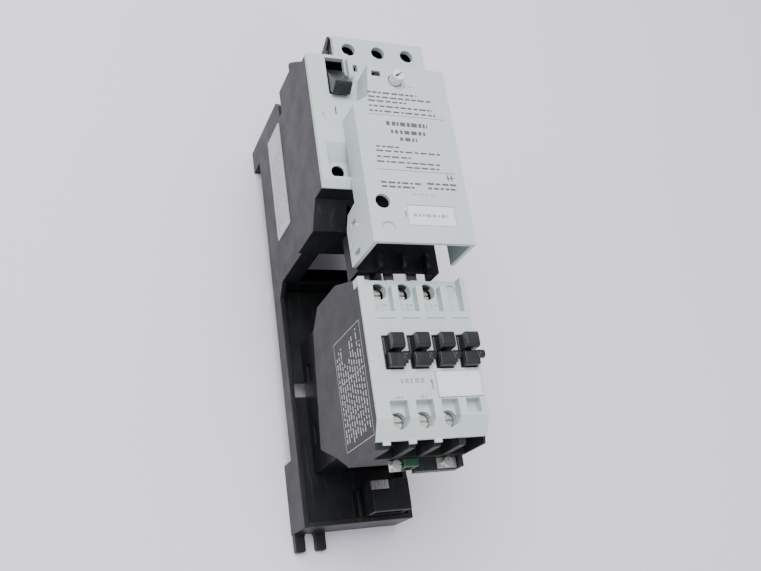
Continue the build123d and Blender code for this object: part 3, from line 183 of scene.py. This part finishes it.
def dust_group():
    """Settled dust and handling smears: fine specks plus long faint streaks."""
    group, given, result = new_group(
        "dust_and_smears",
        [("Place", "NodeSocketVector", None), ("Specks", "NodeSocketFloat", 0.3),
         ("Streaks", "NodeSocketFloat", 0.3)],
        [("Mask", "NodeSocketFloat")])
    specks = noise(group, given.outputs["Place"], 1400.0, 2.0, 0.7)
    specks = maths(group, "MULTIPLY", maths(group, "SUBTRACT", specks, 0.66, True), 7.0, True)
    mapping = group.nodes.new("ShaderNodeMapping")
    mapping.inputs["Scale"].default_value = (1.0, 0.12, 0.5)
    mapping.inputs["Rotation"].default_value = (0.0, 0.0, 0.5)
    group.links.new(given.outputs["Place"], mapping.inputs["Vector"])
    streaks = noise(group, mapping.outputs["Vector"], 420.0, 3.0, 0.6)
    streaks = maths(group, "MULTIPLY", maths(group, "SUBTRACT", streaks, 0.56, True), 5.0, True)
    total = maths(group, "ADD", maths(group, "MULTIPLY", specks, given.outputs["Specks"]),
                  maths(group, "MULTIPLY", streaks, given.outputs["Streaks"]), True)
    group.links.new(total, result.inputs["Mask"])
    return group


GRAIN = grain_group()
RUB = rub_group()
DUST = dust_group()


def place_group(tree, group, coordinate, values):
    """A group node on the object's own coordinates, with its values set."""
    node = tree.nodes.new("ShaderNodeGroup")
    node.node_tree = group
    tree.links.new(coordinate, node.inputs["Place"])
    for name, value in values.items():
        node.inputs[name].default_value = value
    return node


def blend(tree, mask, below, above):
    """A colour mix; below and above are sockets or colours."""
    node = tree.nodes.new("ShaderNodeMix")
    node.data_type = "RGBA"
    if isinstance(mask, (int, float)):
        node.inputs[0].default_value = mask
    else:
        tree.links.new(mask, node.inputs[0])
    for i, value in ((6, below), (7, above)):
        if isinstance(value, tuple):
            node.inputs[i].default_value = (*value, 1.0)
        else:
            tree.links.new(value, node.inputs[i])
    return node.outputs[2]


def spread(tree, value, low, high):
    """Stretches noise around a half to a range."""
    node = tree.nodes.new("ShaderNodeMapRange")
    node.inputs["From Min"].default_value = 0.3
    node.inputs["From Max"].default_value = 0.7
    node.inputs["To Min"].default_value = low
    node.inputs["To Max"].default_value = high
    tree.links.new(value, node.inputs["Value"])
    return node.outputs["Result"]


def new_material(name):
    """A material with its tree, its shader and the object's own coordinates."""
    material = bpy.data.materials.new(name)
    material.use_nodes = True
    tree = material.node_tree
    shader = tree.nodes["Principled BSDF"]
    place = tree.nodes.new("ShaderNodeTexCoord").outputs["Object"]
    return material, tree, shader, place


def add_bump(tree, shader, height, depth, strength=1.0):
    """Feeds a height into the shader's normal."""
    bump = tree.nodes.new("ShaderNodeBump")
    bump.inputs["Strength"].default_value = strength
    bump.inputs["Distance"].default_value = depth
    tree.links.new(height, bump.inputs["Height"])
    tree.links.new(bump.outputs["Normal"], shader.inputs["Normal"])


def moulding(name, colour, patch, rub, dust, rough=(0.38, 0.52), grain=0.00003, fineness=2600.0,
             rub_share=0.5, dust_share=0.35, streaks=0.25, shine=0.5):
    """A moulded plastic with grain, cloudy patches, rubbed corners and a little dust."""
    material, tree, shader, place = new_material(name)
    grained = place_group(tree, GRAIN, place, {"Fineness": fineness})
    rubbed = place_group(tree, RUB, place, {"Radius": 0.0005})
    dusty = place_group(tree, DUST, place, {"Specks": dust_share, "Streaks": streaks})
    base = blend(tree, spread(tree, grained.outputs["Patches"], 0.0, 0.8), colour, patch)
    base = blend(tree, maths(tree, "MULTIPLY", rubbed.outputs["Mask"], rub_share), base, rub)
    base = blend(tree, maths(tree, "MULTIPLY", dusty.outputs["Mask"], dust_share), base, dust)
    tree.links.new(base, shader.inputs["Base Color"])
    sheen = spread(tree, grained.outputs["Patches"], *rough)
    sheen = maths(tree, "ADD", sheen, maths(tree, "MULTIPLY", dusty.outputs["Mask"], 0.22), True)
    tree.links.new(sheen, shader.inputs["Roughness"])
    shader.inputs["Specular IOR Level"].default_value = shine
    add_bump(tree, shader, grained.outputs["Height"], grain, 0.6)
    return material


def plating(name, colour, dull, rough=(0.24, 0.42)):
    """A bare or plated metal with drawn streaks, dull patches and worn corners."""
    material, tree, shader, place = new_material(name)
    mapping = tree.nodes.new("ShaderNodeMapping")
    mapping.inputs["Scale"].default_value = (1.0, 0.06, 1.0)
    tree.links.new(place, mapping.inputs["Vector"])
    drawn = noise(tree, mapping.outputs["Vector"], 2600.0, 3.0, 0.6)
    grained = place_group(tree, GRAIN, place, {"Fineness": 1800.0})
    rubbed = place_group(tree, RUB, place, {"Radius": 0.0003})
    base = blend(tree, spread(tree, grained.outputs["Patches"], 0.0, 1.0), colour, dull)
    brighter = tuple(min(1.0, channel * 1.25) for channel in colour)
    base = blend(tree, maths(tree, "MULTIPLY", rubbed.outputs["Mask"], 0.6), base, brighter)
    tree.links.new(base, shader.inputs["Base Color"])
    tree.links.new(spread(tree, drawn, *rough), shader.inputs["Roughness"])
    shader.inputs["Metallic"].default_value = 1.0
    add_bump(tree, shader, drawn, 0.00001, 0.5)
    return material


def wound_wire():
    """Enamelled copper wire laid turn on turn."""
    material, tree, shader, place = new_material("winding_wire")
    wave = tree.nodes.new("ShaderNodeTexWave")
    wave.bands_direction = "Z"
    wave.inputs["Scale"].default_value = 700.0
    wave.inputs["Distortion"].default_value = 0.6
    tree.links.new(place, wave.inputs["Vector"])
    grained = place_group(tree, GRAIN, place, {})
    patches = spread(tree, grained.outputs["Patches"], 0.0, 1.0)
    base = blend(tree, patches, (0.30, 0.09, 0.03), (0.18, 0.05, 0.02))
    tree.links.new(base, shader.inputs["Base Color"])
    tree.links.new(spread(tree, wave.outputs["Fac"], 0.25, 0.5), shader.inputs["Roughness"])
    shader.inputs["Metallic"].default_value = 0.6
    add_bump(tree, shader, wave.outputs["Fac"], 0.0002, 0.8)
    return material


def laminated_steel():
    """Stacked sheet steel: thin bands across the stack with rust-brown seams."""
    material, tree, shader, place = new_material("laminated_steel")
    wave = tree.nodes.new("ShaderNodeTexWave")
    wave.bands_direction = "X"
    wave.inputs["Scale"].default_value = 600.0
    tree.links.new(place, wave.inputs["Vector"])
    grained = place_group(tree, GRAIN, place, {})
    base = blend(tree, wave.outputs["Fac"], (0.24, 0.22, 0.20), (0.42, 0.42, 0.43))
    base = blend(tree, spread(tree, grained.outputs["Patches"], 0.0, 0.5), base, (0.20, 0.15, 0.11))
    tree.links.new(base, shader.inputs["Base Color"])
    tree.links.new(spread(tree, grained.outputs["Patches"], 0.35, 0.55), shader.inputs["Roughness"])
    shader.inputs["Metallic"].default_value = 0.9
    add_bump(tree, shader, wave.outputs["Fac"], 0.00008, 0.6)
    return material


def printed_ink(name, colour, fade):
    """Pad-printed ink, thin and slightly patchy."""
    material, tree, shader, place = new_material(name)
    grained = place_group(tree, GRAIN, place, {})
    base = blend(tree, spread(tree, grained.outputs["Height"], 0.0, 0.7), colour, fade)
    tree.links.new(base, shader.inputs["Base Color"])
    tree.links.new(spread(tree, grained.outputs["Patches"], 0.5, 0.7), shader.inputs["Roughness"])
    add_bump(tree, shader, grained.outputs["Height"], 0.00001, 0.4)
    return material


def table_top():
    """The pale table: even colour with a very faint cloud and tooth."""
    material, tree, shader, place = new_material("table_top")
    cloud = noise(tree, place, 3.0, 3.0)
    base = blend(tree, spread(tree, cloud, 0.0, 1.0), (0.83, 0.79, 0.87), (0.85, 0.81, 0.89))
    tree.links.new(base, shader.inputs["Base Color"])
    tree.links.new(spread(tree, cloud, 0.62, 0.74), shader.inputs["Roughness"])
    add_bump(tree, shader, noise(tree, place, 1500.0, 2.0), 0.00002, 0.3)
    return material


finish = {
    "base_black": moulding("base_black", (0.006, 0.0075, 0.008), (0.010, 0.012, 0.013),
                           (0.07, 0.075, 0.08), (0.20, 0.20, 0.20), (0.36, 0.5), 0.00005, 2200.0,
                           shine=0.26),
    "housing_dark": moulding("housing_dark", (0.011, 0.0145, 0.0145), (0.018, 0.0225, 0.0225),
                             (0.11, 0.12, 0.12), (0.24, 0.24, 0.24), (0.4, 0.55), 0.00006, 2000.0,
                             shine=0.28),
    "front_white": moulding("front_white", (0.53, 0.615, 0.605), (0.49, 0.565, 0.555),
                            (0.78, 0.80, 0.80), (0.42, 0.41, 0.39), (0.36, 0.5), 0.00003, 3000.0,
                            0.6, 0.22, 0.3),
    "marker_white": moulding("marker_white", (0.76, 0.79, 0.80), (0.70, 0.73, 0.74), (0.84, 0.85, 0.86),
                             (0.5, 0.5, 0.48), (0.2, 0.34), 0.00001, 3000.0, 0.5, 0.2, 0.3),
    "label_silver": moulding("label_silver", (0.52, 0.54, 0.55), (0.44, 0.46, 0.47), (0.66, 0.67, 0.68),
                             (0.3, 0.3, 0.29), (0.3, 0.42), 0.00001, 3000.0, 0.4, 0.3, 0.5),
    "black_gloss": moulding("black_gloss", (0.010, 0.011, 0.012), (0.018, 0.019, 0.020), (0.07, 0.07, 0.075),
                            (0.22, 0.22, 0.22), (0.2, 0.34), 0.00001, 3000.0, 0.5, 0.3, 0.3),
    "carrier_brown": moulding("carrier_brown", (0.085, 0.045, 0.028), (0.06, 0.032, 0.02),
                              (0.18, 0.12, 0.08), (0.25, 0.22, 0.2)),
    "terminal_green": moulding("terminal_green", (0.008, 0.070, 0.026), (0.006, 0.052, 0.020),
                               (0.10, 0.35, 0.2), (0.25, 0.27, 0.25), (0.3, 0.42)),
    "rubber_pad": moulding("rubber_pad", (0.02, 0.02, 0.02), (0.03, 0.03, 0.03), (0.06, 0.06, 0.06),
                           (0.15, 0.15, 0.15), (0.6, 0.8), 0.0001, 1500.0),
    "plated_steel": plating("plated_steel", (0.66, 0.66, 0.63), (0.52, 0.52, 0.50)),
    "spring_steel": plating("spring_steel", (0.42, 0.43, 0.45), (0.30, 0.31, 0.33), (0.28, 0.45)),
    "copper": plating("copper", (0.80, 0.42, 0.26), (0.55, 0.28, 0.17), (0.26, 0.45)),
    "core_steel": laminated_steel(),
    "winding": wound_wire(),
}
INK_BLACK = printed_ink("ink_black", (0.05, 0.055, 0.06), (0.16, 0.17, 0.17))
INK_GREY = printed_ink("ink_grey", (0.27, 0.29, 0.29), (0.42, 0.44, 0.44))
INK_WHITE = printed_ink("ink_white", (0.60, 0.62, 0.62), (0.36, 0.38, 0.38))


# ---------------------------------------------------------------- making pieces

def add_piece(name, bm, body, slot, material=None, smooth=40.0, *stands_for):
    """Turns a finished bmesh into an object that rides on a body."""
    mesh = bpy.data.meshes.new(name)
    bm.to_mesh(mesh)
    bm.free()
    mesh.shade_smooth()
    mesh.set_sharp_from_angle(angle=radians(smooth))
    mesh.materials.append(material or finish[slot])
    piece = bpy.data.objects.new(name, mesh)
    bpy.context.collection.objects.link(piece)
    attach(piece, body)
    if stands_for:
        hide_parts(*stands_for)
    return piece


def add_brick(bm, low, high, bevel=0.0):
    """A box between two corners, its edges rounded if asked."""
    made = bmesh.ops.create_cube(bm, size=1.0)
    verts = made["verts"]
    size = [high[i] - low[i] for i in range(3)]
    middle = [(high[i] + low[i]) / 2 for i in range(3)]
    bmesh.ops.scale(bm, vec=size, verts=verts)
    bmesh.ops.translate(bm, vec=middle, verts=verts)
    if bevel:
        edges = list({edge for vert in verts for edge in vert.link_edges})
        bmesh.ops.bevel(bm, geom=edges, offset=bevel, segments=2, profile=0.5, affect="EDGES",
                        material=-1, clamp_overlap=True)


def eased_copy(node, width):
    """A merged copy of a CAD node with every edge that turns over 28 degrees eased, in its place."""
    bm = bmesh.new()
    bm.from_mesh(frame["nodes"][node].data)
    bmesh.ops.remove_doubles(bm, verts=bm.verts, dist=WELD_REACH)
    bmesh.ops.dissolve_limit(bm, angle_limit=radians(0.5), verts=bm.verts, edges=bm.edges)
    sharp = [edge for edge in bm.edges if edge.is_manifold and edge.calc_face_angle(0.0) > radians(28.0)]
    bmesh.ops.bevel(bm, geom=sharp, offset=width, segments=2, profile=0.5, affect="EDGES",
                    material=-1, clamp_overlap=False)
    piece = add_piece(node + "_eased", bm, body_of[node], slot_of[node], None, 50.0, node)
    shading = piece.modifiers.new("even_shading", "WEIGHTED_NORMAL")
    shading.keep_sharp = True


# Width of the eased edges, in mm.
EASED = {
    "mounting_base": 0.25, "rail_latch": 0.2, "plug_block": 0.25,
    "contactor_housing": 0.16, "contactor_rear": 0.25, "contactor_front": 0.13, "contactor_marker": 0.12,
    "contact_actuators": 0.22, "coil_terminal_carrier": 0.2, "link_insulator": 0.2,
    "breaker_housing": 0.2, "breaker_front": 0.18, "label_cover": 0.16, "cover_marker": 0.12,
    "toggle_lever": 0.25, "test_slide": 0.1,
}
for node_name, edge_width in EASED.items():
    eased_copy(node_name, edge_width * MM)
for node_name, node_object in frame["nodes"].items():
    if node_name in EASED:
        continue
    node_object.data.materials.clear()
    node_object.data.materials.append(finish[slot_of[node_name]])


# ---------------------------------------------------------------- printing

def sheet(bm, low, high):
    """A flat patch of ink just above a front face."""
    add_brick(bm, (low[0], low[1], low[2]), (high[0], high[1], low[2] + INK_THICK))


def print_row(bm, rng, x0, x1, y, z, height, long_dash=3.2):
    """A row of generic dashes that stands for a line of small print."""
    x = x0
    while x < x1 - 0.4 * MM:
        dash = min(rng.uniform(0.35, 1.0) * long_dash * MM, x1 - x)
        sheet(bm, (x, y - height / 2, z), (x + dash, y + height / 2, z))
        x += dash + rng.uniform(0.5, 0.9) * MM


def side_row(bm, rng, x, y0, y1, z, height, long_dash=3.4):
    """A row of dashes on a left wall, running along the starter."""
    y = y0
    while y < y1 - 0.4 * MM:
        dash = min(rng.uniform(0.35, 1.0) * long_dash * MM, y1 - y)
        add_brick(bm, (x - SIDE_INK_THICK, y, z - height / 2), (x, y + dash, z + height / 2))
        y += dash + rng.uniform(0.6, 1.0) * MM


def printed_ring(bm, centre, normal, radius, width):
    """A flat ring laid on a face: a circle, its edges drawn outwards to the rim."""
    inner, outer = radius - width / 2, radius + width / 2
    circle = bmesh.ops.create_circle(bm, segments=40, radius=inner)
    edges = list({edge for vert in circle["verts"] for edge in vert.link_edges})
    drawn = bmesh.ops.extrude_edge_only(bm, edges=edges)["geom"]
    rim = [item for item in drawn if isinstance(item, bmesh.types.BMVert)]
    bmesh.ops.scale(bm, vec=(outer / inner, outer / inner, 1.0), verts=rim)
    bm.normal_update()
    turned = [face for face in bm.faces if face.normal.z < 0]
    bmesh.ops.reverse_faces(bm, faces=turned)
    across = Vector((1, 0, 0))
    up = normal.cross(across).normalized()
    turn = Matrix((across, up, normal)).transposed().to_4x4()
    place = Matrix.Translation(centre + normal * RING_LIFT)
    bmesh.ops.transform(bm, matrix=place @ turn, verts=bm.verts)


# Rows of print on the cover, in mm from its lower left corner: height up it, start, end, letter height.
HEADING_ROWS = ((66.0, 7.7, 29.2, 0.85), (63.9, 7.8, 35.2, 0.8), (62.0, 7.5, 24.1, 0.8),
                (59.6, 7.6, 35.3, 0.8), (57.3, 7.3, 36.2, 0.8))
TITLE_ROWS = ((51.9, 13.7, 31.6, 1.9), (48.2, 15.2, 30.1, 1.7), (45.0, 18.6, 26.0, 1.6))
NOTE_ROWS = ((41.0, 7.8, 17.5, 0.75), (39.1, 7.5, 35.1, 0.75), (36.5, 7.5, 21.9, 0.75),
             (34.3, 7.2, 34.1, 0.75), (32.3, 19.0, 34.2, 0.75))
FOOT_ROWS = ((25.2, 7.4, 24.1, 0.85), (23.4, 7.6, 22.0, 0.85), (25.6, 26.9, 40.2, 0.85),
             (23.6, 27.0, 39.4, 0.85))
# The second faint row runs into the dial's stem.
FAINT_ROWS = ((20.6, 20.0, 30.0, 0.5), (70.2, 20.0, 30.0, 0.5))


def cover_print():
    """The cover's print: heading, rule, title, notes, rule, a small symbol, foot rows and faint rows."""
    low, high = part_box("label_cover")
    z, left, foot = high[2], low[0], low[1]
    black, grey = bmesh.new(), bmesh.new()
    rng = random.Random(4)

    def rows(bm, block, long_dash=3.2):
        for up, start, end, height in block:
            print_row(bm, rng, left + start * MM, left + end * MM, foot + up * MM, z, height * MM, long_dash)

    rows(black, HEADING_ROWS)
    for up in (55.6, 30.7):
        sheet(black, (left + 6.8 * MM, foot + up * MM, z), (left + 40.1 * MM, foot + (up + 0.22) * MM, z))
    rows(black, TITLE_ROWS, 2.6)
    rows(black, NOTE_ROWS)
    rows(black, FOOT_ROWS)
    for x in (36.3, 37.9):
        sheet(black, (left + x * MM, foot + 27.4 * MM, z), (left + (x + 0.5) * MM, foot + 30.0 * MM, z))
    sheet(black, (left + 35.8 * MM, foot + 28.5 * MM, z), (left + 39.4 * MM, foot + 28.8 * MM, z))
    rows(grey, FAINT_ROWS, 1.6)
    add_piece("cover_print", black, BASE_BODY, "black_gloss", INK_BLACK)
    add_piece("cover_faint_print", grey, BASE_BODY, "black_gloss", INK_GREY)


def marker_print():
    """Faint dashes on the cover's marker, and scale ticks round the dial."""
    low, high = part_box("cover_marker")
    bm = bmesh.new()
    rng = random.Random(9)
    print_row(bm, rng, low[0] + 2 * MM, high[0] - 3 * MM, (low[1] + high[1]) / 2, high[2], 1.3 * MM, 2.2)
    low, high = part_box("setting_dial")
    middle = (low + high) / 2
    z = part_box("label_cover")[1][2]
    for i in range(9):
        turn = radians(-40 + 32 * i)
        out = Vector((cos(turn), sin(turn), 0))
        spot = middle + out * 4.1 * MM
        sheet(bm, (spot.x - 0.16 * MM, spot.y - 0.16 * MM, z), (spot.x + 0.16 * MM, spot.y + 0.16 * MM, z))
    add_piece("marker_print", bm, BASE_BODY, "black_gloss", INK_GREY)


def dial_pointer():
    """A black bar sunk in the dial's white head. It isn't turned with the slot, so only its middle shows."""
    low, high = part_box("setting_dial")
    middle = (low + high) / 2
    half_length, half_width = 1.9 * MM, 0.36 * MM
    bm = bmesh.new()
    add_brick(bm, (middle.x - half_length, middle.y - half_width, high[2] - 1.05 * MM),
              (middle.x + half_length, middle.y + half_width, high[2] - 0.45 * MM), 0.04 * MM)
    add_piece("dial_pointer", bm, body_of["setting_dial"], "black_gloss")


def contactor_side_print():
    """Light print on the contactor's left wall: a ruled block and lines of dashes."""
    low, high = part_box("contactor_housing")
    x = low[0]
    bm = bmesh.new()
    rng = random.Random(12)
    top = high[2] - 6 * MM
    for i in range(11):
        start = low[1] + rng.uniform(12, 15) * MM
        side_row(bm, rng, x, start, start + rng.uniform(24, 38) * MM, top - i * 2.5 * MM, 0.7 * MM)
    for z in (top + 2.2 * MM, top - 27.2 * MM):
        add_brick(bm, (x - SIDE_INK_THICK, low[1] + 10 * MM, z), (x, low[1] + 54 * MM, z + 0.2 * MM))
    for y in (10, 36, 53.8):
        add_brick(bm, (x - SIDE_INK_THICK, low[1] + y * MM, top - 27.2 * MM),
                  (x, low[1] + (y + 0.2) * MM, top + 2.2 * MM))
    add_piece("contactor_side_print", bm, BASE_BODY, "marker_white", INK_WHITE)


def contactor_front_print():
    """Faint marks beside the marker and under the terminal holes."""
    low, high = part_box("contactor_marker")
    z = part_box("contactor_front")[1][2]
    bm = bmesh.new()
    rng = random.Random(21)
    print_row(bm, rng, low[0] - 14.5 * MM, low[0] - 5.0 * MM, high[1] - 3.2 * MM, z, 1.9 * MM, 2.0)
    first_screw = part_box("contactor_load_screws")[0]
    line_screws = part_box("contactor_line_screws")[0]
    for column in range(3):
        x = first_screw[0] + (2.9 + 10.3 * column) * MM
        for y in (low[1] + 0.4 * MM, line_screws[1] - 4.4 * MM):
            print_row(bm, rng, x - 1.4 * MM, x + 1.6 * MM, y, z, 1.0 * MM, 1.2)
    add_piece("contactor_front_print", bm, BASE_BODY, "black_gloss", INK_GREY)


def lever_marks():
    """A ring for the lever's flat, which lies just under its surface, and the bar on the module."""
    bm = bmesh.new()
    centre, normal = line_end_flat("toggle_lever")
    printed_ring(bm, centre, normal, 1.75 * MM, 0.5 * MM)
    add_piece("lever_ring", bm, body_of["toggle_lever"], "black_gloss", INK_GREY)
    bm = bmesh.new()
    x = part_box("breaker_front")[0][0] + 9.5 * MM
    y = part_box("toggle_lever")[0][1] - 6.6 * MM
    z = module_top(x, y)
    sheet(bm, (x - 0.28 * MM, y - 1.8 * MM, z), (x + 0.28 * MM, y + 1.8 * MM, z))
    add_piece("module_bar", bm, BASE_BODY, "black_gloss", INK_BLACK)


def line_end_flat(node):
    """The middle and the normal of the node's largest upper face that leans towards the line end."""
    mesh = frame["nodes"][node].data
    areas = {}
    for face in mesh.polygons:
        if face.normal.z > 0.3 and face.normal.y > 0.05 and abs(face.normal.x) < 0.1:
            key = (round(face.normal.y, 1), round(face.normal.z, 1))
            total, weighted, normal = areas.get(key, (0.0, Vector(), face.normal.copy()))
            areas[key] = (total + face.area, weighted + face.center * face.area, normal)
    total, weighted, normal = max(areas.values(), key=lambda entry: entry[0])
    return weighted / total, normal


def module_top(x, y):
    """The height of the breaker front under a point, looked for from above."""
    mesh = frame["nodes"]["breaker_front"].data
    tree = BVHTree.FromPolygons([vert.co.copy() for vert in mesh.vertices],
                                [tuple(face.vertices) for face in mesh.polygons])
    spot = tree.ray_cast(Vector((x, y, 0.3)), Vector((0, 0, -1)))[0]
    return spot.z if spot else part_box("breaker_front")[1][2]


def base_label_print():
    """Dark bars on the silver label of the base's left wall."""
    low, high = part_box("base_label")
    bm = bmesh.new()
    rng = random.Random(31)
    for i in range(5):
        side_row(bm, rng, low[0] + 0.00001, low[1] + 4 * MM, high[1] - rng.uniform(5, 16) * MM,
                 high[2] - (3 + 3.2 * i) * MM, 0.9 * MM, 4.5)
    add_piece("base_label_print", bm, BASE_BODY, "black_gloss", INK_GREY)


cover_print()
marker_print()
dial_pointer()
contactor_side_print()
contactor_front_print()
lever_marks()
base_label_print()

# ---------------------------------------------------------------- the table

floor_mesh = bmesh.new()
bmesh.ops.create_grid(floor_mesh, x_segments=1, y_segments=1, size=3.0)
floor_data = bpy.data.meshes.new("table")
floor_mesh.to_mesh(floor_data)
floor_mesh.free()
floor_data.materials.append(table_top())
floor = bpy.data.objects.new("table", floor_data)
bpy.context.collection.objects.link(floor)

aim_camera()
light_room()
